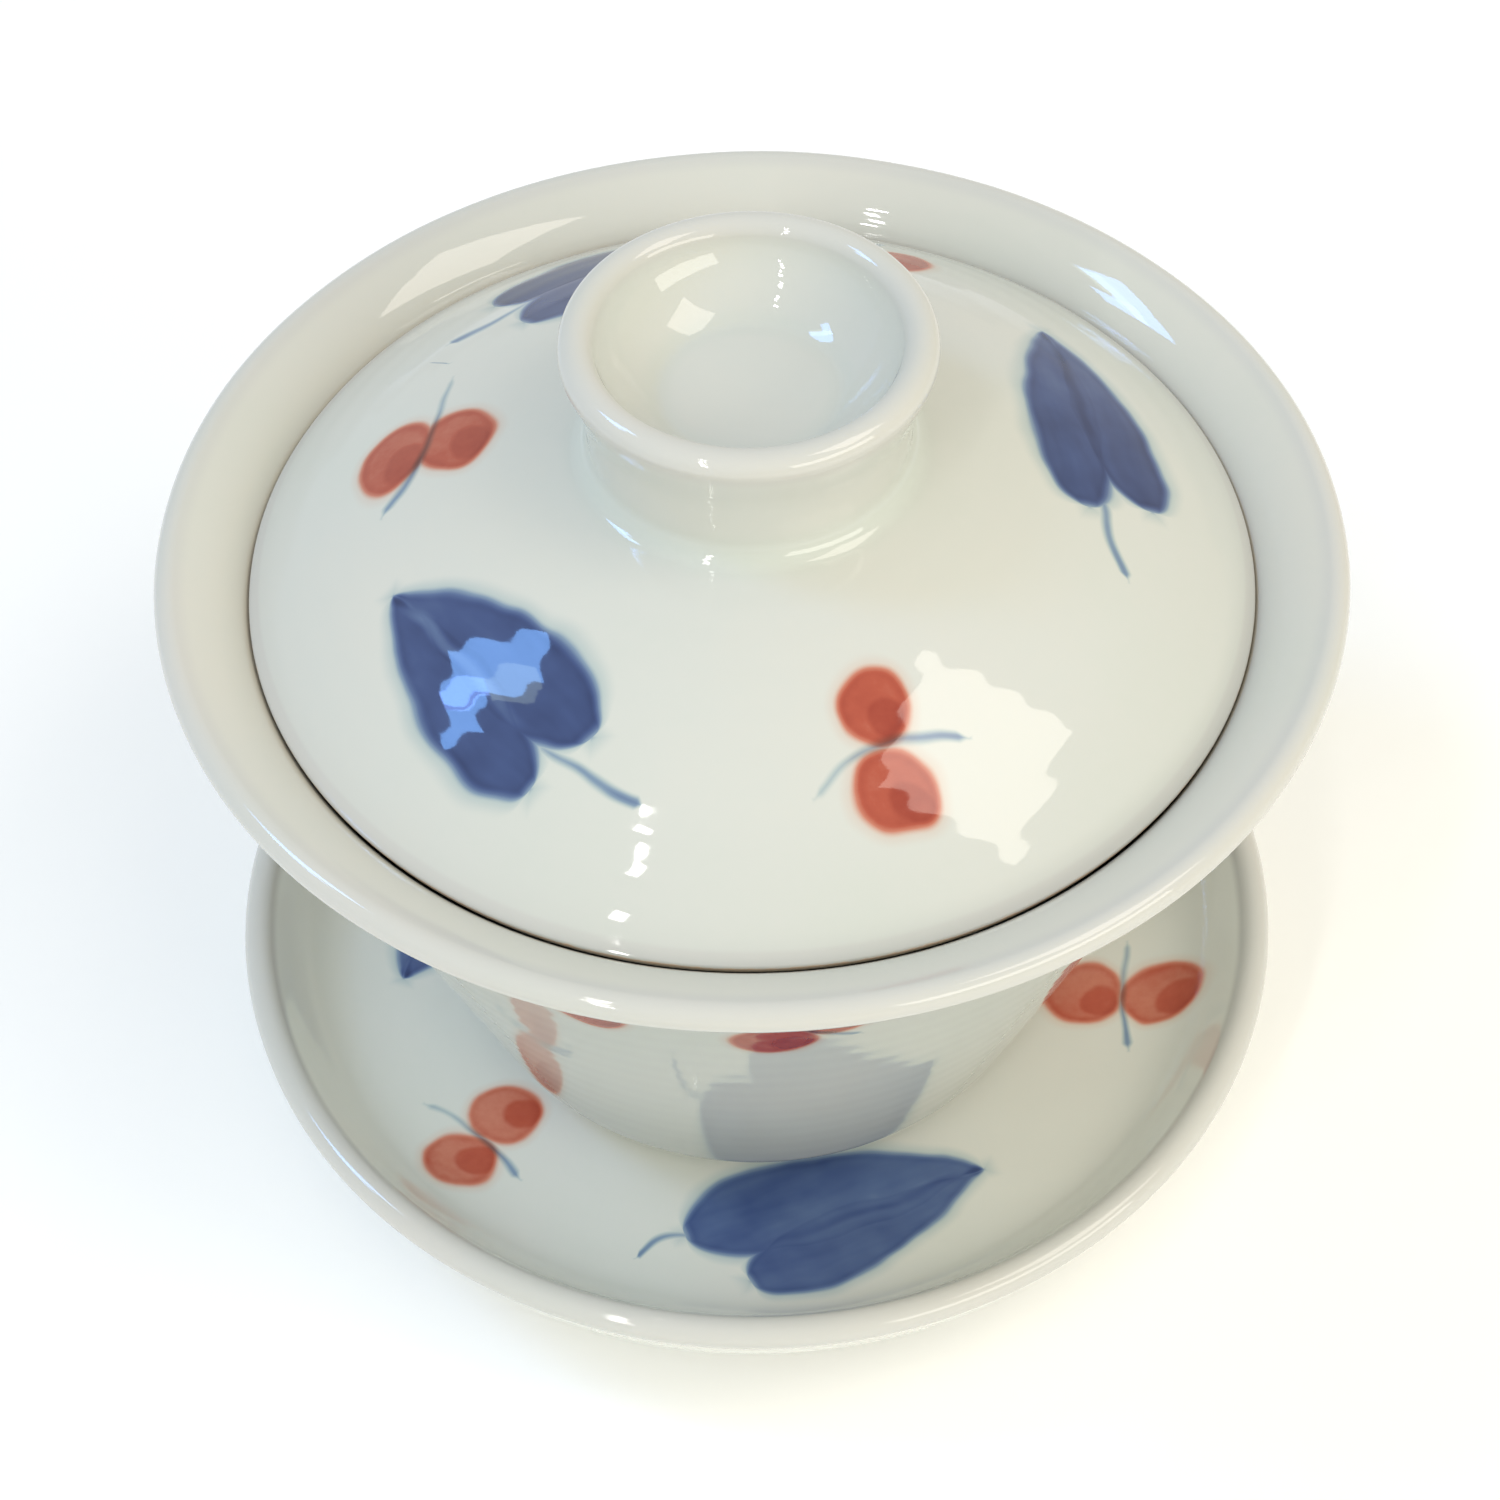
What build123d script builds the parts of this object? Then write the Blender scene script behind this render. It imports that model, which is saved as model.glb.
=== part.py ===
from build123d import *
from math import cos, radians, sin, sqrt, tan
import os

# A lidded porcelain tea bowl on its saucer: three separately fired pieces that
# stand one in the other.  Every piece is turned on a wheel, so each is a
# half section in the XZ plane, revolved about the Z axis.  Units are mm.
# The origin is on the axis, at the underside of the saucer's foot ring.

# ---- driving dimensions ---------------------------------------------------
BOWL_RIM_RADIUS = 50.0        # widest point of the out-turned bowl rim
BOWL_RIM_HEIGHT = 66.5        # top of the bowl rim above the table
SAUCER_RADIUS = 49.3          # widest point of the saucer rim
SAUCER_HEIGHT = 17.2          # top of the saucer rim above the table
LID_RADIUS = 42.6             # outer edge of the lid, inside the bowl's flare
LID_EDGE_BELOW_RIM = 4.0      # lid edge lies this far below the bowl rim
KNOB_LIP_RADIUS = 15.1        # widest point of the ring knob
KNOB_TOP_ABOVE_RIM = 22.2     # top of the ring knob above the bowl rim

# ---- clay thickness and rounds --------------------------------------------
BOWL_LIP_ROUND = 1.3          # radius of the bowl's lip, half its wall
BOWL_LIP_LEAN = 24            # rise of the flare at the lip, degrees
BOWL_FLOOR_DISH = 0.4         # the bowl's floor sinks this much to its middle
SAUCER_LIP_ROUND = 1.4
SAUCER_LIP_LEAN = 62
LID_WALL = 2.3
LID_EDGE_ROUND = 0.35
KNOB_LIP_ROUND = 1.45
KNOB_LIP_LEAN = 74
FOOT_ROUND = 0.5              # wiped corners of the bare foot rings

# ---- where the pieces meet ------------------------------------------------
SAUCER_FLOOR = 6.4            # height of the dish floor
WELL_DEPTH = 0.9              # shallow seat in the dish for the bowl's foot
WELL_RADIUS = 22.2
FOOT_GAP = 0.15               # glaze and grit between bowl foot and saucer
SEAT_RADIUS = 42.15           # where the lid's lower edge meets the flare
SEAT_BELOW_RIM = 5.3
LID_GAP = 0.22                # between the lid's edge and the bowl's flare

# ---- saucer ---------------------------------------------------------------
SAUCER_FOOT_RADIUS = 27.5     # outside of the saucer's foot ring
SAUCER_FOOT_WIDTH = 3.4
SAUCER_FOOT_HEIGHT = 3.0
DISH_STATIONS = [(34.0, 0.6), (42.0, 3.3)]         # (radius, height over the dish floor)
BACK_STATIONS = [(44.5, 10.2), (37.0, 12.7)]       # (radius, depth below the saucer's rim)
CORNER_ROUND = 0.8            # thrown corners of the seat and behind the foot rings

# ---- bowl -----------------------------------------------------------------
BASE_RADIUS = 22.9            # flat base, inside the round heel
HEEL_ROUND = 6.0              # outside radius between the wall and the base
WALL_LEAN = 18.6              # the wall leans out from upright, degrees
BOWL_FOOT_RADIUS = 20.6
BOWL_FOOT_WIDTH = 2.8
BOWL_FOOT_HEIGHT = 3.0
FLARE_BEND = (45.9, 4.5)      # where the flare turns down: (radius, depth below the rim)
WALL_TOP_DEPTH = 7.4          # the straight wall begins this far below the rim

# ---- lid ------------------------------------------------------------------
DOME_RADIUS = 66.4            # spherical radius of the lid's dome
KNOB_BASE_RADIUS = 13.1
KNOB_WAIST = (13.85, 5.2)     # (radius, depth below the knob's top)
KNOB_FILLET = 2.2             # glaze-filled corner between knob and dome
RECESS_DEPTH = 6.3            # hollow inside the knob
RECESS_FLOOR_RADIUS = 7.4
RECESS_CORNER = 1.6           # soft corner round the hollow's floor
RECESS_WALL = (10.4, 4.0)     # (radius, depth below the knob's top)
FOOT_DRAFT = 0.6              # foot rings lean out by this much as they rise

WELL_FLOOR = SAUCER_FLOOR - WELL_DEPTH
BOWL_BASE = WELL_FLOOR + FOOT_GAP
BOWL_UNDERSIDE = BOWL_BASE + BOWL_FOOT_HEIGHT
LID_EDGE_HEIGHT = BOWL_RIM_HEIGHT - LID_EDGE_BELOW_RIM
KNOB_TOP = BOWL_RIM_HEIGHT + KNOB_TOP_ABOVE_RIM
SEAT_HEIGHT = BOWL_RIM_HEIGHT - SEAT_BELOW_RIM


def on_section(point):
    """A point or direction of a half section: (distance from axis, height)."""
    return (point[0], 0, point[1])


def run(*points):
    """Straight edges through section points."""
    spots = [on_section(p) for p in points]
    return [Line(a, b) for a, b in zip(spots, spots[1:])]


def arc(start, middle, end):
    """A circular edge through three section points."""
    return ThreePointArc(on_section(start), on_section(middle), on_section(end))


def curve(points, start_way, end_way):
    """A smooth edge through section points, with its two end directions."""
    spots = [on_section(p) for p in points]
    return Spline(spots, tangents=[on_section(start_way), on_section(end_way)])


def lip(widest, top, size, lean):
    """A half-round lip that ends a wall rising outward at an angle.

    Gives the end of the inner face, the tip and the start of the outer face,
    and the way the wall runs.
    """
    way = (cos(radians(lean)), sin(radians(lean)))
    centre = (widest - size, top - size)
    inner = (centre[0] - size * way[1], centre[1] + size * way[0])
    tip = (centre[0] + size * way[0], centre[1] + size * way[1])
    outer = (centre[0] + size * way[1], centre[1] - size * way[0])
    return inner, tip, outer, way


def reverse(way):
    """The opposite direction."""
    return (-way[0], -way[1])


def turned(edges, rounded):
    """Revolve a closed half section, with the listed corners rounded."""
    section = make_face(Wire(edges)).face()
    for point, size in rounded:
        spot = Vector(*on_section(point))
        vertex = min(section.vertices(), key=lambda v: (Vector(*v) - spot).length)
        section = section.fillet_2d(size, [vertex])
    return revolve(section, Axis.Z)


def foot_ring(outside, width, bottom, top):
    """Section points of a foot ring, from its outer top to its inner top."""
    inside = outside - width
    return [(outside + FOOT_DRAFT, top), (outside, bottom),
            (inside, bottom), (inside - FOOT_DRAFT, top)]


def make_saucer():
    """A shallow dish with an upturned lip, a low foot ring and a seat."""
    inner, tip, outer, way = lip(SAUCER_RADIUS, SAUCER_HEIGHT, SAUCER_LIP_ROUND,
                                 SAUCER_LIP_LEAN)
    seat_low = (WELL_RADIUS, WELL_FLOOR)
    seat_high = (WELL_RADIUS + WELL_DEPTH, SAUCER_FLOOR)
    foot = foot_ring(SAUCER_FOOT_RADIUS, SAUCER_FOOT_WIDTH, 0, SAUCER_FOOT_HEIGHT)
    dish = [(radius, SAUCER_FLOOR + rise) for radius, rise in DISH_STATIONS]
    dish = curve([seat_high] + dish + [inner], (1, 0), way)
    back = [(radius, SAUCER_HEIGHT - drop) for radius, drop in BACK_STATIONS]
    back = curve([outer] + back + [foot[0]], reverse(way), (-1, -0.1))
    edges = run((0, WELL_FLOOR), seat_low, seat_high)
    edges += [dish, arc(inner, tip, outer), back]
    edges += run(*foot, (0, SAUCER_FOOT_HEIGHT), (0, WELL_FLOOR))
    rounded = [(seat_low, CORNER_ROUND), (seat_high, CORNER_ROUND),
               (foot[0], CORNER_ROUND), (foot[1], FOOT_ROUND),
               (foot[2], FOOT_ROUND), (foot[3], CORNER_ROUND)]
    return turned(edges, rounded)


def inward(before, here, after, thickness):
    """A point of a wall's inner face, moved square to the line of its neighbours."""
    across, up = after[0] - before[0], after[1] - before[1]
    length = sqrt(across ** 2 + up ** 2)
    return (here[0] + thickness * up / length, here[1] - thickness * across / length)


def heel(centre, size):
    """A round corner from the leaning wall down to the flat base."""
    lean = radians(WALL_LEAN)
    half_way = 0.5 * (lean + radians(90))
    return ((centre[0] + size * cos(lean), centre[1] - size * sin(lean)),
            (centre[0] + size * cos(half_way), centre[1] - size * sin(half_way)),
            (centre[0], centre[1] - size))


def make_bowl():
    """A bell-shaped tea bowl: a wide flare over a wall that narrows to a round heel."""
    top = BOWL_RIM_HEIGHT
    inner, tip, outer, way = lip(BOWL_RIM_RADIUS, top, BOWL_LIP_ROUND, BOWL_LIP_LEAN)
    wall = 2 * BOWL_LIP_ROUND
    foot = foot_ring(BOWL_FOOT_RADIUS, BOWL_FOOT_WIDTH, BOWL_BASE, BOWL_UNDERSIDE)
    heel_centre = (BASE_RADIUS, BOWL_UNDERSIDE + HEEL_ROUND)
    heel_out = heel(heel_centre, HEEL_ROUND)
    heel_in = heel(heel_centre, HEEL_ROUND - wall)
    down = (-sin(radians(WALL_LEAN)), -cos(radians(WALL_LEAN)))
    wall_top = top - WALL_TOP_DEPTH
    wall_out = (heel_out[0][0] + (wall_top - heel_out[0][1]) * tan(radians(WALL_LEAN)), wall_top)
    wall_in = (wall_out[0] + wall * down[1], wall_out[1] - wall * down[0])
    bend_out = (FLARE_BEND[0], top - FLARE_BEND[1])
    bend_in = inward(outer, bend_out, wall_out, wall)
    outside = [curve([outer, bend_out, wall_out], reverse(way), down)] + run(wall_out, heel_out[0])
    inside = run(heel_in[0], wall_in) + [curve([wall_in, bend_in, inner], reverse(down), way)]
    middle = (0, heel_in[2][1] - BOWL_FLOOR_DISH)
    floor = curve([middle, heel_in[2]], (1, 0), (1, 0))
    edges = outside + [arc(*heel_out)]
    edges += run(heel_out[2], *foot[1:], (0, BOWL_UNDERSIDE), middle)
    edges += [floor, arc(*heel_in[::-1])] + inside + [arc(inner, tip, outer)]
    rounded = [(heel_out[2], CORNER_ROUND), (foot[1], FOOT_ROUND),
               (foot[2], FOOT_ROUND), (foot[3], CORNER_ROUND)]
    return turned(edges, rounded)


def dome_point(radius, sphere, apex):
    """A point of a spherical dome at a distance from the axis."""
    return (radius, apex - sphere + sqrt(sphere ** 2 - radius ** 2))


def make_lid():
    """A low dome that drops into the bowl's flare, with a hollow ring knob."""
    inner, tip, outer, way = lip(KNOB_LIP_RADIUS, KNOB_TOP, KNOB_LIP_ROUND, KNOB_LIP_LEAN)
    apex = LID_EDGE_HEIGHT + DOME_RADIUS - sqrt(DOME_RADIUS ** 2 - LID_RADIUS ** 2)
    edge = (LID_RADIUS, LID_EDGE_HEIGHT)
    knob_foot = dome_point(KNOB_BASE_RADIUS, DOME_RADIUS, apex)
    half_way = 0.5 * (KNOB_BASE_RADIUS + LID_RADIUS)
    dome = arc(knob_foot, dome_point(half_way, DOME_RADIUS, apex), edge)
    under_sphere = DOME_RADIUS - LID_WALL
    under_apex = apex - LID_WALL
    seat = (SEAT_RADIUS, SEAT_HEIGHT + LID_GAP)
    under_edge = dome_point(SEAT_RADIUS - LID_WALL, under_sphere, under_apex)
    below = arc(under_edge,
                dome_point(0.5 * under_edge[0], under_sphere, under_apex),
                (0, under_apex))
    recess_floor = KNOB_TOP - RECESS_DEPTH
    recess_corner = (RECESS_FLOOR_RADIUS, recess_floor)
    recess = curve([recess_corner, (RECESS_WALL[0], KNOB_TOP - RECESS_WALL[1]), inner], (1, 0.5), way)
    wall = curve([outer, (KNOB_WAIST[0], KNOB_TOP - KNOB_WAIST[1]), knob_foot],
                 reverse(way), (-0.05, -1))
    edges = run((0, recess_floor), recess_corner)
    edges += [recess, arc(inner, tip, outer), wall, dome]
    edges += run(edge, seat, under_edge)
    edges.append(below)
    edges += run((0, under_apex), (0, recess_floor))
    rounded = [(recess_corner, RECESS_CORNER), (knob_foot, KNOB_FILLET), (edge, LID_EDGE_ROUND),
               (seat, LID_EDGE_ROUND), (under_edge, LID_EDGE_ROUND)]
    return turned(edges, rounded)


os.makedirs("parts", exist_ok=True)
for name, make in {"saucer": make_saucer, "bowl": make_bowl, "lid": make_lid}.items():
    piece = make()
    piece.label = name
    export_step(piece, f"parts/{name}.step")
    print(name, "volume", round(piece.volume / 1000, 2), "cm3")
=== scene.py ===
import math
import random

import bpy
import numpy as np
from mathutils import Matrix, Vector, noise


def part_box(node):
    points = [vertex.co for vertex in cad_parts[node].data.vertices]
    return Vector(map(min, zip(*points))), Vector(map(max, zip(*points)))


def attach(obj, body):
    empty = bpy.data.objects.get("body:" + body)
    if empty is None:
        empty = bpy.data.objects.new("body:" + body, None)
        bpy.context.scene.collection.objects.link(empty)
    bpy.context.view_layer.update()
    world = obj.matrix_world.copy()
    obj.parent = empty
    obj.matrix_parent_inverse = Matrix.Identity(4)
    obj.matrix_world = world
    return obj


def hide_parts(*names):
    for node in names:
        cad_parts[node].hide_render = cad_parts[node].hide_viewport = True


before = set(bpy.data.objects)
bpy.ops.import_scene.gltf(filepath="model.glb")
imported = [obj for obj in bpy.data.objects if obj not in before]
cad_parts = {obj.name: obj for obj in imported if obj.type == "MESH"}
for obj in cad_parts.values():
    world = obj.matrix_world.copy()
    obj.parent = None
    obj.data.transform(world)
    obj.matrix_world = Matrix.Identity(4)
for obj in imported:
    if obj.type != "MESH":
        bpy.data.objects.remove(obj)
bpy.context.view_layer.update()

# A lidded porcelain tea bowl on its saucer.  The three turned pieces are the
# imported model's own outlines, turned again as dense, slightly uneven meshes.
# Their glaze and the leaves and berries painted under it are node materials.
# Lengths in this file are metres, apart from paint and glaze, which are mm.

MM = 0.001

# ---- the frame's own measures ---------------------------------------------
SAUCER_LOW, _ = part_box("saucer")
BOWL_LOW, BOWL_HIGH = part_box("bowl")
LID_LOW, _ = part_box("lid")
RIM_HEIGHT = BOWL_HIGH.z
RIM_RADIUS = BOWL_HIGH.x

# ---- camera: held over the front of the set, looking down at the rim ------
CAMERA_DISTANCE = 5.05 * RIM_RADIUS
CAMERA_ELEVATION = math.radians(46.08)
CAMERA_LENS = 72.0            # mm, as is the sensor
SENSOR_WIDTH = 36.0
CAMERA_YAW = 0.0014
CAMERA_PITCH = -0.0741
CAMERA_ROLL = 0.0143

# ---- the room: its strength low down and overhead, its tint at each side --
WORLD_LOW = 0.92
WORLD_HIGH = 0.80
WORLD_LEFT = (0.91, 0.97, 0.95, 1.0)
WORLD_RIGHT = (0.93, 0.86, 0.73, 1.0)
FLOOR_REACH = 3.0

# ---- lights: all stand this far from the middle of the rim ----------------
LIGHT_DISTANCE = 1.0
GLINT_HEIGHTS = (27, 31, 34, 38, 41, 47, 55, 61)    # degrees above the table
GLINT_BEARING = -24.0
GLINT_POWER = 0.26

# ---- turned meshes --------------------------------------------------------
TURNS = 208                   # faces round the axis
STEP_LONG = 0.55 * MM         # outline steps on flat stretches
STEP_TURN = math.radians(7)   # most that the outline turns in one step
WOBBLE = 0.035 * MM           # unevenness left by the hand and the kiln
WOBBLE_LENGTH = 13 * MM
RIDGE = 0.006 * MM            # turning rings
RIDGE_LENGTH = 3.1 * MM
RIDGE_WANDER = 0.8 * MM       # how far a ring wanders up and down
ON_AXIS = 1e-7                # nearer to the axis or a plane than this is on it
HOLLOW_REACH = 1.3 * MM       # stretch of outline over which a curve is felt

# ---- where the brush may go, in mm ----------------------------------------
WALL_RADIUS = 40.0            # the bowl's painted wall is unrolled at this radius
PAINT_REACH = 2.5             # paint ends well within this distance of its motif
LID_PAINT_TOP = 77.0          # the paint on the lid stays below the knob's wall
HAND_SHAKE = 1.6              # how far the brush strays, for noise of 0 to 1

# ---- the fired surface ----------------------------------------------------
FOOT_BARE = 0.8               # height of bare clay on a foot ring, in mm
LID_BARE = 0.9                # and up from the lid's lowest edge
GLAZE_IOR = 1.52
GLAZE_ROUGHNESS = 0.035
CLAY_ROUGHNESS = 0.7          # added where the clay is bare
RELIEF_DEPTH = 0.012 * MM
PINHOLE_SCALE = 0.11          # cells of about 9 mm, few of which hold a pinhole


def srgb(red, green, blue):
    """A colour of 0-255 display values as linear values."""
    parts = []
    for value in (red, green, blue):
        part = value / 255
        parts.append(part / 12.92 if part <= 0.04045 else ((part + 0.055) / 1.055) ** 2.4)
    return (*parts, 1.0)


# ---- glaze and pigments, and glaze colours that hold painted light --------
GLAZE_THIN = srgb(202, 201, 197)      # over lips, where the glaze runs thin
GLAZE = srgb(206, 207, 202)           # on the lid
GLAZE_SAUCER_PAINTED_LIGHT = srgb(232, 233, 227)    # lighter than the lid's glaze: painted light, lifting the shade the saucer stands in
GLAZE_BOWL = srgb(208, 207, 200)
GLAZE_WALL_PAINTED_SHADE = srgb(187, 189, 185)      # darker than the bowl's inside: painted shade on the wall under the overhanging rim
GLAZE_POOLED = srgb(200, 205, 199)    # in hollows and along the foot
BARE_CLAY = srgb(214, 200, 178)
PALE_CLAY = srgb(226, 215, 198)
SCORCHED_CLAY = srgb(186, 142, 98)
PINHOLE = srgb(92, 80, 66)
CLOUDING = [(0.0, (240, 246, 240)), (0.5, (248, 249, 246)), (1.0, (255, 251, 245))]
COBALT = [(0.0, (255, 255, 255)), (0.12, (220, 232, 238)), (0.32, (156, 180, 213)),
          (0.58, (103, 127, 181)), (0.80, (72, 94, 156)), (1.0, (46, 65, 122))]
IRON_RED = [(0.0, (255, 255, 255)), (0.12, (252, 226, 217)), (0.35, (238, 150, 128)),
            (0.58, (214, 100, 78)), (0.80, (190, 76, 58)), (1.0, (158, 54, 44))]

# ---- painted decoration, in mm --------------------------------------------
# leaf: tip x, y, heading from the tip, length, then width and reach of its left
#       and right strokes, midrib (below 0 a pale gap, above 0 a dark overlap),
#       load of paint, stalk points
LID_LEAVES = [
    ((-29.0, -10.8), -51.5, 22.5, 6.4, 1.0, 5.8, 0.98, -0.9, 0.66,
     [(-16.9, -26.4), (-12.8, -29.4), (-8.2, -31.9)]),
    ((26.0, 20.8), -79.0, 24.5, 5.6, 0.95, 5.9, 0.99, 0.5, 0.64,
     [(29.7, 1.4), (29.0, -5.2), (30.6, -9.8)]),
    ((-3.5, 35.5), 216.0, 22.0, 6.4, 1.0, 6.4, 0.96, 0.3, 0.66,
     [(-19.2, 24.6), (-22.9, 21.5), (-26.2, 20.2)]),
]
# the saucer's paint loads are lower than the lid's: painted reflection, paler paint standing in for sky
# sheen over the dish
SAUCER_LEAVES = [
    ((20.9, -26.1), 201.5, 27.5, 6.9, 0.92, 8.3, 1.04, 0.4, 0.50,
     [(-5.2, -33.6), (-8.9, -32.9), (-11.4, -35.6)]),
    ((-34.6, -3.4), 76.0, 24.0, 6.8, 1.0, 6.4, 0.96, 0.4, 0.56,
     [(-28.6, 20.4), (-26.4, 24.6), (-26.9, 28.4)]),
    ((15.5, 33.8), -33.0, 25.0, 7.0, 1.0, 6.4, 0.96, -0.5, 0.56,
     [(35.6, 19.6), (38.0, 15.4), (37.2, 11.6)]),
]
BOWL_LEAVES = [
    ((44.0, 57.0), -62.0, 18.0, 5.2, 1.0, 5.6, 0.96, -0.6, 0.62,
     [(52.4, 41.3), (54.8, 38.1), (55.2, 34.9)]),
    ((-66.0, 34.0), 68.0, 18.0, 5.6, 1.0, 5.2, 0.96, 0.4, 0.62,
     [(-59.4, 50.3), (-56.6, 53.5), (-56.2, 56.5)]),
    ((105.0, 36.5), 104.0, 17.5, 5.2, 1.0, 5.2, 0.96, 0.4, 0.62,
     [(100.8, 53.1), (101.4, 56.5), (103.8, 58.5)]),
]
# berries: two fruits (centre x, y, half width, half height, turn), then load
#          of paint, then the twig's points
LID_BERRIES = [
    ((-29.7, 4.6, 3.1, 4.2, -12), (-24.4, 4.4, 3.3, 3.8, 8), 0.46,
     [(-25.5, 13.6), (-26.6, 6.2), (-30.4, -2.4)]),
    ((9.2, -25.0, 2.9, 3.0, 0), (10.9, -30.9, 3.5, 3.0, 0), 0.50,
     [(4.6, -31.9), (9.6, -27.9), (16.8, -26.6)]),
    ((13.4, 30.4, 3.4, 2.9, 20), (7.4, 33.2, 3.2, 3.0, 0), 0.46,
     [(9.4, 27.0), (10.6, 32.0), (12.8, 37.4)]),
]
# the saucer's fruit loads are lower too: painted reflection, paler paint standing in for sky sheen over
# the dish
SAUCER_BERRIES = [
    ((-24.1, -19.3, 3.6, 3.3, 40), (-28.0, -25.0, 3.4, 3.2, 40), 0.34,
     [(-31.8, -18.6), (-26.0, -22.3), (-22.3, -27.0)]),
    ((31.9, -6.5, 3.9, 3.7, 0), (39.2, -7.6, 3.7, 3.6, 0), 0.38,
     [(36.6, -0.9), (35.6, -7.2), (35.5, -13.9)]),
    ((-8.6, 34.4, 3.4, 3.6, 0), (-1.8, 36.0, 3.6, 3.3, 10), 0.44,
     [(-6.0, 41.4), (-5.2, 35.2), (-3.6, 29.2)]),
]
BOWL_BERRIES = [
    ((1.3, 51.2, 3.1, 3.0, 0), (5.8, 54.6, 2.7, 2.8, 20), 0.50,
     [(1.2, 57.0), (4.1, 53.0), (8.0, 50.6)]),
    ((-13.2, 53.4, 3.2, 3.2, 0), (-18.8, 55.6, 3.3, 3.1, 0), 0.50,
     [(-13.0, 58.6), (-16.0, 54.4), (-19.6, 50.2)]),
    ((76.0, 46.6, 3.5, 3.3, 0), (82.4, 48.4, 3.4, 3.2, 0), 0.50,
     [(78.4, 54.0), (79.2, 47.8), (80.8, 41.6)]),
    ((-94.0, 46.4, 3.4, 3.3, 0), (-100.2, 44.6, 3.5, 3.2, 0), 0.50,
     [(-96.2, 52.4), (-97.0, 45.6), (-98.8, 39.6)]),
]
STALK = (0.24, 0.40, 0.28)    # half width at its start and end, and load of paint
TWIG = (0.20, 0.30, 0.22)


# ---- outlines and turned meshes -------------------------------------------
def section_edges(mesh):
    """The open edges of a turned mesh on the +X half plane, as each point's neighbours."""
    faces_at = {}
    for face in mesh.polygons:
        for key in face.edge_keys:
            faces_at[key] = faces_at.get(key, 0) + 1
    joined = {}
    for (a, b), count in faces_at.items():
        ends = [mesh.vertices[i].co for i in (a, b)]
        if count != 1 or any(abs(p.y) > ON_AXIS or p.x < -ON_AXIS for p in ends):
            continue
        keys = [(round(p.x, 6), round(p.z, 6)) for p in ends]
        if keys[0] != keys[1]:
            joined.setdefault(keys[0], set()).add(keys[1])
            joined.setdefault(keys[1], set()).add(keys[0])
    return joined


def seam_outline(node):
    """The section of a turned CAD node, from the axis outside round to the axis."""
    joined = section_edges(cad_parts[node].data)
    ends = [k for k in joined if len(joined[k]) == 1]
    lone = [k for k in ends if sum(abs(k[1] - other[1]) < 1e-6 for other in ends) == 1]
    for k in ends:                      # flat rings have no seam: step across them
        joined[k] |= {other for other in ends if other != k and abs(other[1] - k[1]) < 1e-6}
    start = max(lone, key=lambda k: k[1])
    chain, before = [start], None
    while True:
        onward = [k for k in joined[chain[-1]] if k != before]
        if not onward:
            break
        before = chain[-1]
        chain.append(onward[0])
    points = [(0.0, chain[0][1])] + [k for k in chain if k[0] > 1e-6] + [(0.0, chain[-1][1])]
    return np.array(points)


def mirrored(point):
    """The same point on the other side of the axis."""
    return np.array((-point[0], point[1]))


def turn_between(a, b):
    """The angle between two directions of the section."""
    return abs(math.atan2(a[0] * b[1] - a[1] * b[0], a[0] * b[0] + a[1] * b[1]))


def smooth_outline(points):
    """A smooth curve through the outline's points, in short steps."""
    padded = np.vstack([mirrored(points[1]), points, mirrored(points[-2])])
    smooth = []
    for before, start, end, after in zip(padded, padded[1:], padded[2:], padded[3:]):
        first, chord, last = start - before, end - start, after - end
        knots = [max(math.sqrt(math.hypot(*d)), 1e-9) for d in (first, chord, last)]
        leave = (first / knots[0] - (end - before) / (knots[0] + knots[1]) + chord / knots[1]) * knots[1]
        arrive = (chord / knots[1] - (after - start) / (knots[1] + knots[2]) + last / knots[2]) * knots[1]
        turn = max(turn_between(first, chord), turn_between(chord, last))
        count = max(1, math.ceil(math.hypot(*chord) / STEP_LONG), math.ceil(turn / STEP_TURN))
        for t in np.arange(count) / count:
            smooth.append((2 * t**3 - 3 * t**2 + 1) * start + (t**3 - 2 * t**2 + t) * leave
                          + (3 * t**2 - 2 * t**3) * end + (t**3 - t**2) * arrive)
    smooth.append(points[-1])
    return np.array(smooth)


def hollow_of(outline):
    """How hollow the outline is at each point: over 0 in a hollow, under 0 on a round."""
    steps = np.hypot(*np.diff(outline, axis=0).T)
    along = np.concatenate([[0], np.cumsum(steps)])
    ways = np.unwrap(np.arctan2(*np.diff(outline, axis=0).T[::-1]))
    middles = 0.5 * (along[1:] + along[:-1])
    ahead = np.interp(along + HOLLOW_REACH, middles, ways)
    behind = np.interp(along - HOLLOW_REACH, middles, ways)
    return along, (ahead - behind) / (2 * HOLLOW_REACH) * MM


def lay(mesh, label, values):
    """Give each point of a mesh its own number."""
    mesh.attributes.new(label, "FLOAT", "POINT").data.foreach_set("value", values)


def ring_points(radius, height, along, seed):
    """One ring of a turned mesh, pushed a little out of true, or a point on the axis."""
    if radius < ON_AXIS:
        return [(0.0, 0.0, height)]
    points = []
    for k in range(TURNS):
        angle = 2 * math.pi * k / TURNS
        out = Vector((math.cos(angle), math.sin(angle), 0))
        spot = out * radius + Vector((0, 0, height))
        push = WOBBLE * noise.noise(spot / WOBBLE_LENGTH + Vector((seed, seed, 0)))
        ridge = along + RIDGE_WANDER * math.sin(angle + seed)
        push += RIDGE * math.sin(2 * math.pi * ridge / RIDGE_LENGTH)
        push *= min(1.0, radius / WOBBLE_LENGTH)
        points.append((out.x * (radius + push), out.y * (radius + push), height + push))
    return points


def skin(rings):
    """The faces between each ring and the next."""
    faces = []
    for ring, after in zip(rings, rings[1:]):
        for k in range(TURNS):
            j = (k + 1) % TURNS
            if len(ring) == 1:
                faces.append((ring[0], after[k], after[j]))
            elif len(after) == 1:
                faces.append((ring[j], ring[k], after[0]))
            else:
                faces.append((ring[k], after[k], after[j], ring[j]))
    return faces


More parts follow.
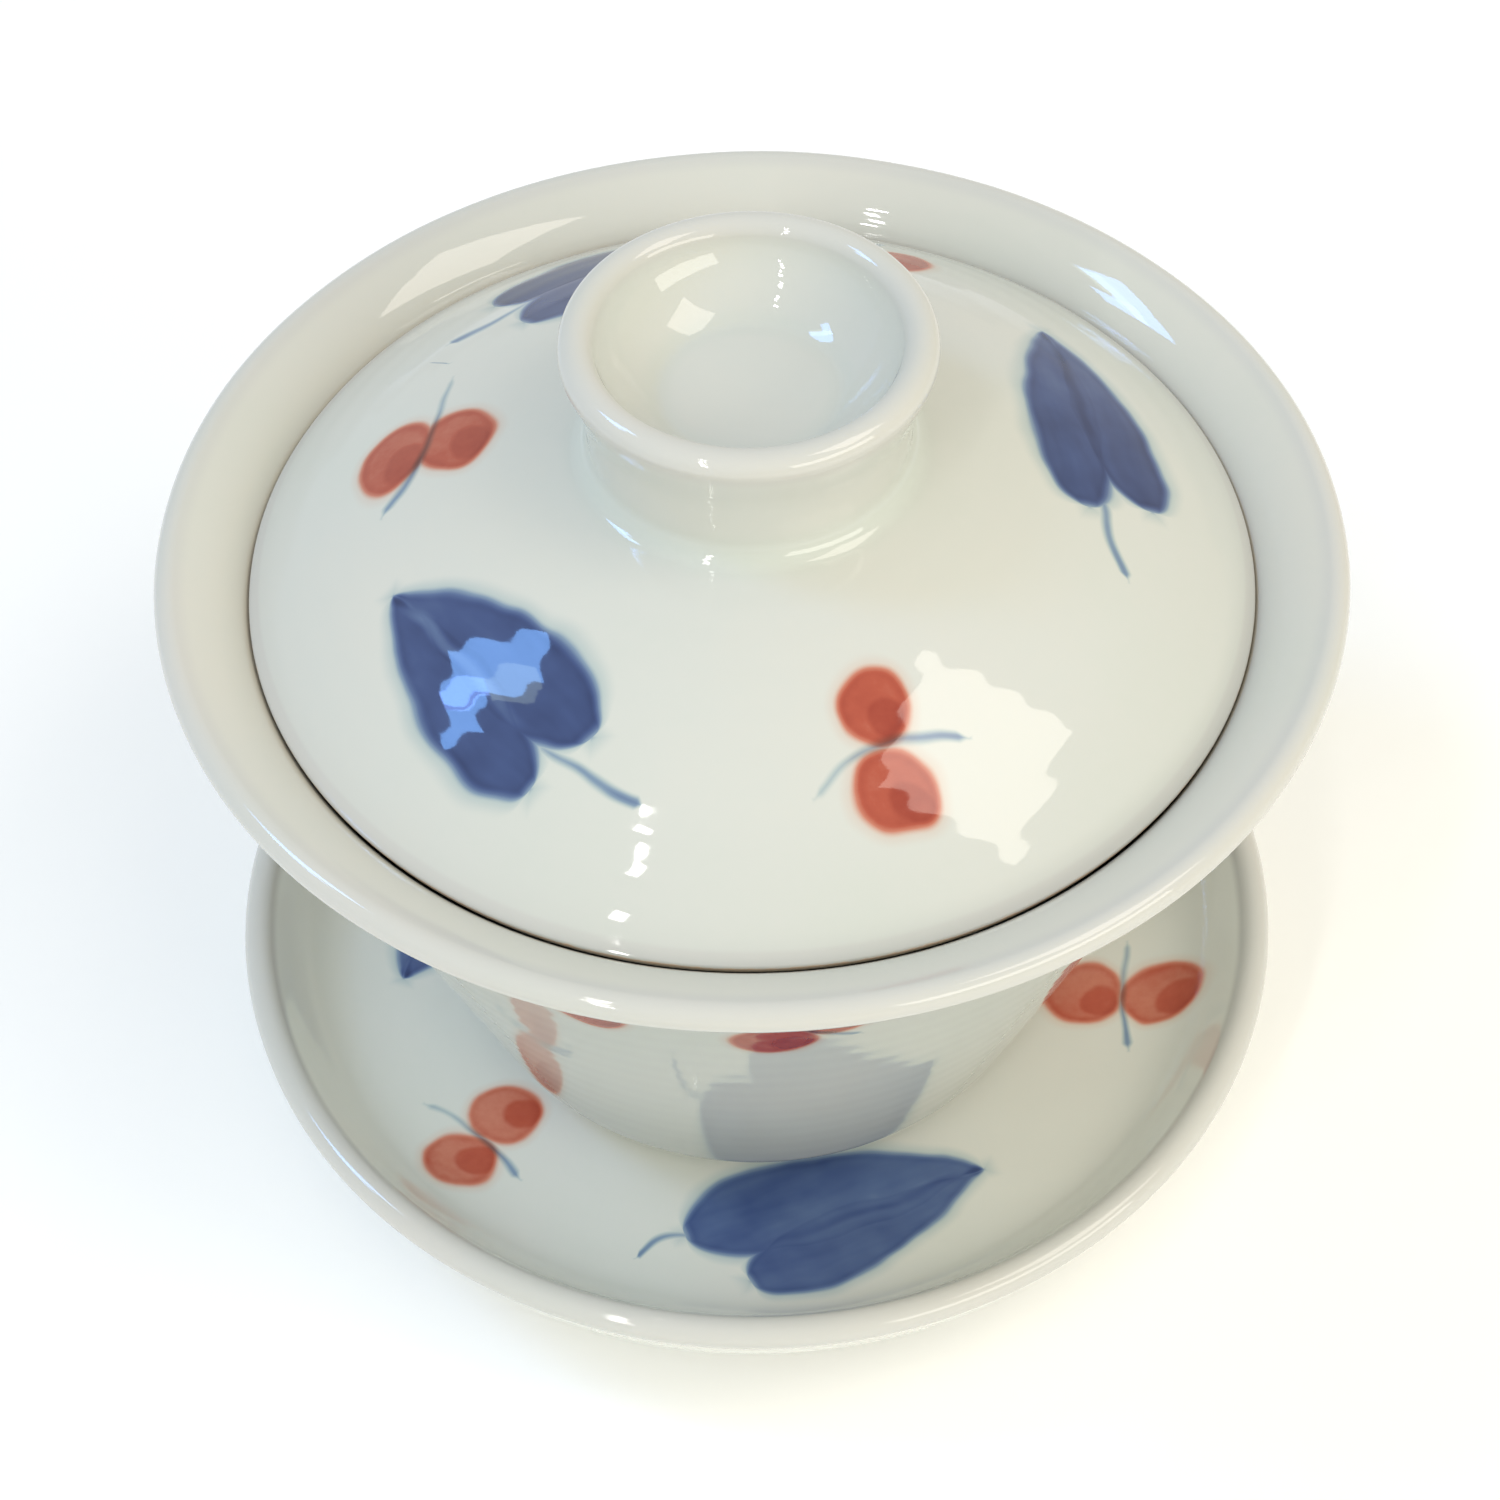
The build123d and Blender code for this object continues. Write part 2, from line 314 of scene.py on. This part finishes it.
def turned_piece(name, node, body, seed):
    """A dense, slightly uneven turned mesh that stands for a CAD node."""
    outline = smooth_outline(seam_outline(node))
    along, hollow = hollow_of(outline)
    widest = int(np.argmax(outline[:, 0]))
    places, rings, hollows, sides = [], [], [], []
    for i, (radius, height) in enumerate(outline):
        points = ring_points(radius, height, along[i], seed)
        rings.append(range(len(places), len(places) + len(points)))
        places += points
        hollows += [hollow[i]] * len(points)
        sides += [0.0 if i <= widest else 1.0] * len(points)
    mesh = bpy.data.meshes.new(name)
    mesh.from_pydata(places, [], skin(rings))
    lay(mesh, "hollow", hollows)
    lay(mesh, "far_side", sides)
    mesh.polygons.foreach_set("use_smooth", [True] * len(mesh.polygons))
    mesh.update()
    piece = bpy.data.objects.new(name, mesh)
    bpy.context.scene.collection.objects.link(piece)
    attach(piece, body)
    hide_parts(node)
    return piece


# ---- where each motif lies on a piece -------------------------------------
def from_above(places):
    """Paint laid on a dish or dome, as seen from above."""
    return places[:, :2]


def round_wall(places):
    """Paint round the bowl's wall: x runs round from the front, y is height."""
    x, y, z = places.T
    return np.stack([np.arctan2(x, -y) * WALL_RADIUS, z], axis=1)


def local(flat, spot, heading):
    """Distance along a heading from a spot, and distance to its left."""
    angle = math.radians(heading)
    away = flat - np.array(spot)
    along = away @ np.array((math.cos(angle), math.sin(angle)))
    return along, away @ np.array((-math.sin(angle), math.cos(angle)))


def leaf_marks(flat, leaf):
    """A leaf's distance and its measures."""
    tip, heading, length, left, left_reach, right, right_reach, midrib, load, _ = leaf
    along, across = local(flat, tip, heading)
    off = np.max([-along, along - length, across - left, -across - right], axis=0)
    return off, {"along": along, "across": across, "length": length, "midrib": midrib,
                 "left": left, "left_reach": left_reach, "right": right,
                 "right_reach": right_reach, "load": load}


def line_marks(flat, line):
    """The distance and measures of a thin bowed stroke through three points."""
    points, (thin, thick, load) = line
    start, middle, end = (Vector(p) for p in points)
    span = end - start
    length = span.length
    share = (middle - start).dot(span) / length**2
    bow = (middle - start).cross(span / length) / (-4 * share * (1 - share))
    along, across = local(flat, start, math.degrees(math.atan2(span.y, span.x)))
    off = np.max([-along, along - length, abs(across) - abs(bow)], axis=0)
    return off, {"along": along, "across": across, "length": length, "bow": bow,
                 "thin": thin, "thick": thick, "load": load}


def fruit_marks(flat, fruit):
    """A fruit's distance and its measures."""
    (x, y, half_width, half_height, turn), load = fruit
    along, across = local(flat, (x, y), turn)
    off = np.max([abs(along) - half_width, abs(across) - half_height], axis=0)
    return off, {"along": along / half_width, "across": across / half_height,
                 "size": 0.5 * (half_width + half_height), "load": load}


def lay_nearest(mesh, kind, marks):
    """Give each point the measures of its nearest motif, and whether it is in reach."""
    offs = np.array([off for off, _ in marks])
    nearest = offs.argmin(axis=0)
    points = np.arange(len(nearest))
    lay(mesh, kind + "_near", (offs.min(axis=0) < PAINT_REACH).astype(float))
    for key in marks[0][1]:
        spread = np.array([np.broadcast_to(measures[key], nearest.shape) for _, measures in marks])
        lay(mesh, f"{kind}_{key}", spread[nearest, points])


def lay_painting(mesh, unroll, leaves, berries):
    """Lay out a piece's leaves, fruits and thin strokes on its mesh."""
    places = np.empty(3 * len(mesh.vertices))
    mesh.vertices.foreach_get("co", places)
    flat = unroll(places.reshape(-1, 3) / MM)
    lines = [(leaf[-1], STALK) for leaf in leaves] + [(pair[-1], TWIG) for pair in berries]
    lay_nearest(mesh, "leaf", [leaf_marks(flat, leaf) for leaf in leaves])
    lay_nearest(mesh, "line", [line_marks(flat, line) for line in lines])
    for which in (0, 1):
        fruits = [(pair[which], pair[2]) for pair in berries]
        lay_nearest(mesh, f"fruit{which}", [fruit_marks(flat, fruit) for fruit in fruits])


# ---- shader arithmetic ----------------------------------------------------
class Number:
    """A number in a shader.  Arithmetic on it adds Math nodes to its tree."""

    def __init__(self, graph, socket):
        self.graph = graph
        self.socket = socket

    def __add__(self, other):
        return self.graph.math("ADD", self, other)

    def __sub__(self, other):
        return self.graph.math("SUBTRACT", self, other)

    def __rsub__(self, other):
        return self.graph.math("SUBTRACT", other, self)

    def __mul__(self, other):
        return self.graph.math("MULTIPLY", self, other)

    def __truediv__(self, other):
        return self.graph.math("DIVIDE", self, other)

    def __pow__(self, other):
        return self.graph.math("POWER", self, other)

    def __abs__(self):
        return self.graph.math("ABSOLUTE", self)

    __radd__ = __add__
    __rmul__ = __mul__


class Graph:
    """The nodes of one material, with short names for the ones used here."""

    def __init__(self, name):
        self.material = bpy.data.materials.new(name)
        self.material.use_nodes = True
        self.tree = self.material.node_tree
        self.shader = self.tree.nodes["Principled BSDF"]

    def node(self, kind, **settings):
        made = self.tree.nodes.new(kind)
        for key, value in settings.items():
            setattr(made, key, value)
        return made

    def feed(self, socket, value):
        if isinstance(value, Number):
            self.tree.links.new(value.socket, socket)
        elif isinstance(value, bpy.types.NodeSocket):
            self.tree.links.new(value, socket)
        else:
            socket.default_value = value

    def math(self, operation, *values):
        made = self.node("ShaderNodeMath", operation=operation)
        for socket, value in zip(made.inputs, values):
            self.feed(socket, value)
        return Number(self, made.outputs[0])

    def most(self, *values):
        """The largest of some numbers."""
        largest = values[0]
        for value in values[1:]:
            largest = self.math("MAXIMUM", largest, value)
        return largest

    def smooth(self, value, low, high):
        """0 at low and beyond it, 1 at high and beyond it, with a soft step between."""
        made = self.node("ShaderNodeMapRange", interpolation_type="SMOOTHSTEP")
        for label, number in (("Value", value), ("From Min", low), ("From Max", high)):
            self.feed(made.inputs[label], number)
        return Number(self, made.outputs[0])

    def attribute(self, label):
        made = self.node("ShaderNodeAttribute", attribute_name=label)
        return Number(self, made.outputs["Fac"])

    def vector(self, x, y, z):
        made = self.node("ShaderNodeCombineXYZ")
        for socket, value in zip(made.inputs, (x, y, z)):
            self.feed(socket, value)
        return made.outputs[0]

    def noise(self, vector, scale, detail):
        made = self.node("ShaderNodeTexNoise")
        made.inputs["Scale"].default_value = scale
        made.inputs["Detail"].default_value = detail
        self.feed(made.inputs["Vector"], vector)
        return made

    def noise_number(self, vector, scale, detail):
        """Noise of about -0.5 to 0.5."""
        return Number(self, self.noise(vector, scale, detail).outputs[0]) - 0.5

    def ramp(self, value, stops):
        """A colour from a number of 0 to 1, through display colours."""
        made = self.node("ShaderNodeValToRGB")
        while len(made.color_ramp.elements) < len(stops):
            made.color_ramp.elements.new(0.5)
        for element, (position, colour) in zip(made.color_ramp.elements, stops):
            element.position = position
            element.color = srgb(*colour)
        self.feed(made.inputs[0], value)
        return made.outputs[0]

    def mix(self, factor, first, second, blend="MIX"):
        made = self.node("ShaderNodeMix", data_type="RGBA", blend_type=blend)
        for place, value in ((0, factor), (6, first), (7, second)):
            self.feed(made.inputs[place], value)
        return made.outputs[2]


# ---- brush work -----------------------------------------------------------
class Brush:
    """Paint on a surface, laid with a slightly shaky hand."""

    def __init__(self, graph, spot):
        self.graph = graph
        shake = graph.node("ShaderNodeSeparateColor")
        graph.feed(shake.inputs[0], graph.noise(spot, 0.17, 1.0).outputs["Color"])
        self.shake = [(Number(graph, shake.outputs[i]) - 0.5) * HAND_SHAKE for i in (0, 1)]
        self.grain = graph.noise_number(spot, 1.3, 3.0)
        self.cloud = graph.noise_number(spot, 0.22, 2.0)

    def local(self, kind):
        """The nearest motif's own coordinates, shaken."""
        along = self.graph.attribute(kind + "_along") + self.shake[0]
        return along, self.graph.attribute(kind + "_across") + self.shake[1]

    def lobe(self, along, across, length, width, swell):
        """One side of a leaf: a drop-shaped stroke that leaves the tip and swells."""
        g = self.graph
        t = g.math("MINIMUM", g.most(along / length, 0.0), 1.0)
        peak = swell / (swell + 0.5)
        scale = width * (0.63 / (peak**swell * math.sqrt(1 - peak)))
        half = t**swell * (1 - t) ** 0.5 * scale
        middle = t**0.7 * (0.50 * width)
        edge = g.most(abs(across - middle) - half, along - length, along * -1)
        return edge, t

    def leaf(self):
        """A leaf of two strokes that meet along its midrib."""
        g = self.graph
        along, across = self.local("leaf")
        length, load = g.attribute("leaf_length"), g.attribute("leaf_load")
        streaks = g.noise_number(g.vector(along * 0.08, across * 0.45, length), 1.0, 2.0)
        paint = None
        for side, label, swell in ((1, "left", 0.95), (-1, "right", 0.75)):
            reach = g.attribute(f"leaf_{label}_reach")
            edge, t = self.lobe(along, across * side, length * reach,
                                g.attribute("leaf_" + label), swell)
            body = g.smooth(edge, 0.35, -0.95)
            bleed = g.smooth(edge, 1.6, -0.2) * 0.13
            depth = load + t * 0.10 + streaks * 0.26 + self.cloud * 0.26
            rim = g.smooth(edge, -1.5, -0.3) * 0.10
            stroke = body * (depth + rim) + bleed
            paint = stroke if paint is None else g.most(paint, stroke)
        tip_dab = g.smooth(along + abs(across) * 1.6, 2.6, 0.4) * g.smooth(along, -0.7, 0.2) * 0.38
        rib_span = g.smooth(along, 1.5, 4.0) * g.smooth(along, length * 0.90, length * 0.60)
        rib = g.smooth(abs(across), 0.75, 0.05) * rib_span * (0.28 * g.attribute("leaf_midrib"))
        paint = g.most(paint + rib + tip_dab * g.smooth(paint, 0.1, 0.5), 0.0)
        return paint * g.attribute("leaf_near")

    def line(self):
        """A thin stroke, thicker at its far end."""
        g = self.graph
        along, across = self.local("line")
        length, thin = g.attribute("line_length"), g.attribute("line_thin")
        t = g.math("MINIMUM", g.most(along / length, 0.0), 1.0)
        off = abs(across - t * (1 - t) * (4 * g.attribute("line_bow")))
        half = thin + t * (g.attribute("line_thick") - thin)
        half = half * (g.smooth(t, 0.0, 0.06) * g.smooth(t, 1.0, 0.93) * 1.4 - 0.4)
        edge = g.most(off - half, along - length, along * -1)
        load = g.attribute("line_load") + t * 0.20 + self.cloud * 0.30
        return g.smooth(edge, 0.38, -0.42) * load * g.attribute("line_near")

    def fruit(self, kind):
        """A round dab with a soft pooled edge and a darker second dab inside."""
        g = self.graph
        size = g.attribute(kind + "_size")
        along = g.attribute(kind + "_along") + self.shake[0] / size
        across = g.attribute(kind + "_across") + self.shake[1] / size
        reach = (along ** 2.0 + across ** 2.0) ** 0.5
        edge = (reach - 1) * size
        body = g.smooth(edge, 0.40, -0.60)
        pool = g.smooth(edge, -1.2, -0.3) * 0.10
        inner = ((along - 0.35) ** 2.0 + (across + 0.25) ** 2.0) ** 0.5
        dab = g.smooth(inner, 0.60, 0.42) * 0.16
        bleed = g.smooth(edge, 1.2, 0.0) * 0.07
        load = g.attribute(kind + "_load") + pool + dab + self.cloud * 0.30 + self.grain * 0.12
        return (body * load + bleed) * g.attribute(kind + "_near")


def painted(graph, spot, where, glaze):
    """The glaze colour with the leaves and berries painted under it."""
    brush = Brush(graph, spot)
    red = graph.most(brush.fruit("fruit0"), brush.fruit("fruit1"))
    blue = graph.most(brush.leaf(), brush.line())
    colour = graph.mix(1.0, glaze, graph.ramp(red * where, IRON_RED), "MULTIPLY")
    return graph.mix(1.0, colour, graph.ramp(blue * where, COBALT), "MULTIPLY")


# ---- materials ------------------------------------------------------------
def spot_on_piece(g):
    """The place on a piece, in mm, and its height."""
    coordinates = g.node("ShaderNodeTexCoord")
    scaled = g.node("ShaderNodeVectorMath", operation="SCALE")
    scaled.inputs["Scale"].default_value = 1 / MM
    g.feed(scaled.inputs[0], coordinates.outputs["Object"])
    parts = g.node("ShaderNodeSeparateXYZ")
    g.feed(parts.inputs[0], scaled.outputs[0])
    return scaled.outputs[0], Number(g, parts.outputs[2])


def glaze_colour(g, spot, mottle, near_glaze_and_painted_light, far_glaze_and_painted_light):
    """Glaze that runs thin over rounds, pools in hollows and is faintly clouded."""
    hollow = g.attribute("hollow")
    cloud = g.noise_number(spot, 0.045, 3.0)
    thin = g.smooth(hollow, -0.05, -0.42)
    pooled = g.smooth(hollow + cloud * 0.05, 0.03, 0.55)
    # near and far colours: lightened on the saucer as painted light, darkened on the bowl's outside as
    # painted shade
    glaze = g.mix(g.attribute("far_side"), near_glaze_and_painted_light, far_glaze_and_painted_light)
    glaze = g.mix(pooled, glaze, GLAZE_POOLED)
    glaze = g.mix(thin, glaze, GLAZE_THIN)
    return g.mix(1.0, glaze, g.ramp(0.5 + cloud * 0.8 + mottle * 0.16, CLOUDING), "MULTIPLY")


def pinholes(g, spot):
    """Where the glaze has its few pinholes: 1 in a hole, 0 outside."""
    cells = g.node("ShaderNodeTexVoronoi")
    cells.inputs["Scale"].default_value = PINHOLE_SCALE
    g.feed(cells.inputs["Vector"], spot)
    chance = g.node("ShaderNodeSeparateColor")
    g.feed(chance.inputs[0], cells.outputs["Color"])
    speck = g.smooth(Number(g, cells.outputs["Distance"]), 0.024, 0.012)
    return speck * g.smooth(Number(g, chance.outputs[0]), 0.80, 0.86)


def bare_clay(g, spot, z, bare_top):
    """Where the clay is left bare, and its colour, scorched along the glaze's edge."""
    ragged = z + g.noise_number(spot, 0.8, 3.0) * 0.45
    bare = g.smooth(ragged, bare_top + 0.2, bare_top)
    scorch = g.smooth(ragged, bare_top - 0.45, bare_top) * bare
    clay = g.mix(g.noise_number(spot, 2.2, 4.0) + 0.5, BARE_CLAY, PALE_CLAY)
    return bare, g.mix(scorch * 0.6, clay, SCORCHED_CLAY)


def porcelain(name, bare_top, where, near_glaze_and_painted_light, far_glaze_and_painted_light):
    """Clear glaze over white clay, with painting under the glaze.

    Below bare_top, a height in mm, the clay is bare, where the piece stood in
    the kiln.  where says how much of the painting shows.  The two glaze colours
    are for the side seen from above and for the side turned away.  On the
    saucer both are lightened as painted light, and on the bowl the far one is
    darkened as painted shade.
    """
    g = Graph(name)
    spot, z = spot_on_piece(g)
    mottle = g.noise_number(spot, 0.9, 4.0)
    colour = painted(g, spot, where(g, z), glaze_colour(g, spot, mottle, near_glaze_and_painted_light, far_glaze_and_painted_light))
    speck = pinholes(g, spot)
    colour = g.mix(speck * 0.75, colour, PINHOLE)
    bare, clay = bare_clay(g, spot, z, bare_top)
    g.feed(g.shader.inputs["Base Color"], g.mix(bare, colour, clay))

    gloss = GLAZE_ROUGHNESS + g.smooth(mottle, 0.05, 0.35) * 0.03
    g.feed(g.shader.inputs["Roughness"], gloss + bare * CLAY_ROUGHNESS)
    g.shader.inputs["IOR"].default_value = GLAZE_IOR

    unglazed = bare * g.noise_number(spot, 5.0, 3.0) * 2.5
    relief = g.noise_number(spot, 0.30, 1.0) * 0.6 + mottle * 0.10 + unglazed
    bump = g.node("ShaderNodeBump")
    bump.inputs["Strength"].default_value = 1.0
    bump.inputs["Distance"].default_value = RELIEF_DEPTH
    g.feed(bump.inputs["Height"], relief - speck * 2.0)
    g.feed(g.shader.inputs["Normal"], bump.outputs["Normal"])
    return g.material


def on_lid(graph, z):
    """The lid's top, up to the foot of the knob."""
    return graph.smooth(z, LID_PAINT_TOP, LID_PAINT_TOP - 0.4) * (1 - graph.attribute("far_side"))


def on_dish(graph, z):
    """The saucer's dish, and not its underside."""
    return 1 - graph.attribute("far_side")


def on_outside(graph, z):
    """The bowl's outside, and not its inside."""
    return graph.attribute("far_side")


# ---- the three pieces -----------------------------------------------------
def make_saucer():
    saucer = turned_piece("saucer_glazed", "saucer", "saucer", 1.0)
    lay_painting(saucer.data, from_above, SAUCER_LEAVES, SAUCER_BERRIES)
    # the saucer's glaze on both sides is the lightened colour: painted light
    saucer.data.materials.append(porcelain(
        "saucer_glaze_and_painted_light", SAUCER_LOW.z / MM + FOOT_BARE, on_dish, GLAZE_SAUCER_PAINTED_LIGHT, GLAZE_SAUCER_PAINTED_LIGHT))


def make_bowl():
    bowl = turned_piece("bowl_glazed", "bowl", "bowl", 2.0)
    lay_painting(bowl.data, round_wall, BOWL_LEAVES, BOWL_BERRIES)
    # the bowl's outside takes the darker wall colour: painted shade under the rim
    bowl.data.materials.append(porcelain(
        "bowl_glaze_and_painted_shade", BOWL_LOW.z / MM + FOOT_BARE, on_outside, GLAZE_BOWL, GLAZE_WALL_PAINTED_SHADE))


def make_lid():
    lid = turned_piece("lid_glazed", "lid", "lid", 3.0)
    lay_painting(lid.data, from_above, LID_LEAVES, LID_BERRIES)
    lid.data.materials.append(porcelain(
        "lid_glaze", LID_LOW.z / MM + LID_BARE, on_lid, GLAZE, GLAZE))


# ---- stage, lights, camera ------------------------------------------------
def make_camera():
    """A camera in front of the set, aimed at the rim and turned a little to frame it."""
    target = Vector((0, 0, RIM_HEIGHT))
    back = Vector((0, -math.cos(CAMERA_ELEVATION), math.sin(CAMERA_ELEVATION)))
    place = target + CAMERA_DISTANCE * back
    camera = bpy.data.objects.new("camera", bpy.data.cameras.new("camera"))
    bpy.context.scene.collection.objects.link(camera)
    camera.data.lens = CAMERA_LENS
    camera.data.sensor_width = SENSOR_WIDTH
    camera.data.clip_start = 0.01
    camera.data.clip_end = 100
    aim = (target - place).to_track_quat("-Z", "Y").to_matrix().to_4x4()
    turn = Matrix.Rotation(CAMERA_YAW, 4, "Y")
    turn = turn @ Matrix.Rotation(CAMERA_PITCH, 4, "X") @ Matrix.Rotation(-CAMERA_ROLL, 4, "Z")
    camera.matrix_world = Matrix.Translation(place) @ aim @ turn
    bpy.context.scene.camera = camera


def make_floor():
    """A plain pale floor."""
    mesh = bpy.data.meshes.new("floor")
    corners = [(x * FLOOR_REACH, y * FLOOR_REACH, 0) for x, y in ((-1, -1), (1, -1), (1, 1), (-1, 1))]
    mesh.from_pydata(corners, [], [(0, 1, 2, 3)])
    floor = bpy.data.objects.new("floor", mesh)
    bpy.context.scene.collection.objects.link(floor)
    g = Graph("pale_floor")
    g.shader.inputs["Base Color"].default_value = srgb(249, 249, 248)
    g.shader.inputs["Roughness"].default_value = 0.85
    g.shader.inputs["Specular IOR Level"].default_value = 0.1
    mesh.materials.append(g.material)


def add_light(name, bearing, height, width, tall, power, colour):
    """A soft panel that faces the set.

    The bearing is 0 at the front and 90 at the right, and the height is the
    angle above the table, both in degrees.
    """
    turn, lift = math.radians(bearing), math.radians(height)
    way = Vector((math.sin(turn) * math.cos(lift), -math.cos(turn) * math.cos(lift), math.sin(lift)))
    light = bpy.data.lights.new(name, "AREA")
    light.shape = "RECTANGLE"
    light.size = width
    light.size_y = tall
    light.energy = power
    light.color = colour
    lamp = bpy.data.objects.new(name, light)
    bpy.context.scene.collection.objects.link(lamp)
    lamp.location = Vector((0, 0, RIM_HEIGHT)) + LIGHT_DISTANCE * way
    lamp.rotation_euler = (way * -1).to_track_quat("-Z", "Y").to_euler()


def make_lights():
    """Daylight from two windows, a low glow and a broken strip of small glints."""
    add_light("window_right", 75, 55, 0.40, 0.42, 2.0, (1.0, 0.92, 0.82))
    add_light("sky_left_high", -102.5, 51, 0.15, 0.27, 1.5, (0.20, 0.46, 1.0))
    add_light("sky_left_middle", -98, 46.5, 0.075, 0.12, 0.32, (0.22, 0.38, 1.0))
    add_light("sky_left_low", -91.5, 46, 0.09, 0.105, 0.36, (0.20, 0.46, 1.0))
    add_light("garden_left", -97, 54, 0.09, 0.14, 0.12, (0.60, 0.75, 0.62))
    add_light("glow", 46, 23, 0.80, 0.30, 3.0, (1.0, 0.97, 0.88))
    dice = random.Random(7)
    for height in GLINT_HEIGHTS:
        bearing = GLINT_BEARING - 0.35 * (height - 30) + dice.uniform(-2.0, 2.0)
        width, tall = dice.uniform(0.018, 0.052), dice.uniform(0.016, 0.06)
        add_light(f"glint_{height}", bearing, height, width, tall, GLINT_POWER, (1.0, 0.98, 0.95))


def make_world():
    """A pale room, a little brighter low down, cool on the left and warm on the right."""
    world = bpy.data.worlds.new("pale_room")
    bpy.context.scene.world = world
    world.use_nodes = True
    tree = world.node_tree
    place = tree.nodes.new("ShaderNodeTexCoord")
    split = tree.nodes.new("ShaderNodeSeparateXYZ")
    shift = tree.nodes.new("ShaderNodeMapRange")
    ramp = tree.nodes.new("ShaderNodeValToRGB")
    tree.links.new(place.outputs["Generated"], split.inputs[0])
    tree.links.new(split.outputs["X"], shift.inputs["Value"])
    shift.inputs["From Min"].default_value = -1
    tree.links.new(shift.outputs[0], ramp.inputs[0])
    ramp.color_ramp.elements[0].color = WORLD_LEFT
    ramp.color_ramp.elements[1].color = WORLD_RIGHT
    rise = tree.nodes.new("ShaderNodeMapRange")
    tree.links.new(split.outputs["Z"], rise.inputs["Value"])
    rise.inputs["To Min"].default_value = WORLD_LOW
    rise.inputs["To Max"].default_value = WORLD_HIGH
    background = tree.nodes["Background"]
    tree.links.new(ramp.outputs[0], background.inputs["Color"])
    tree.links.new(rise.outputs[0], background.inputs["Strength"])


# ---- the scene ------------------------------------------------------------
make_camera()
make_saucer()
make_bowl()
make_lid()
make_floor()
make_lights()
make_world()
bpy.context.scene.view_settings.view_transform = "Standard"
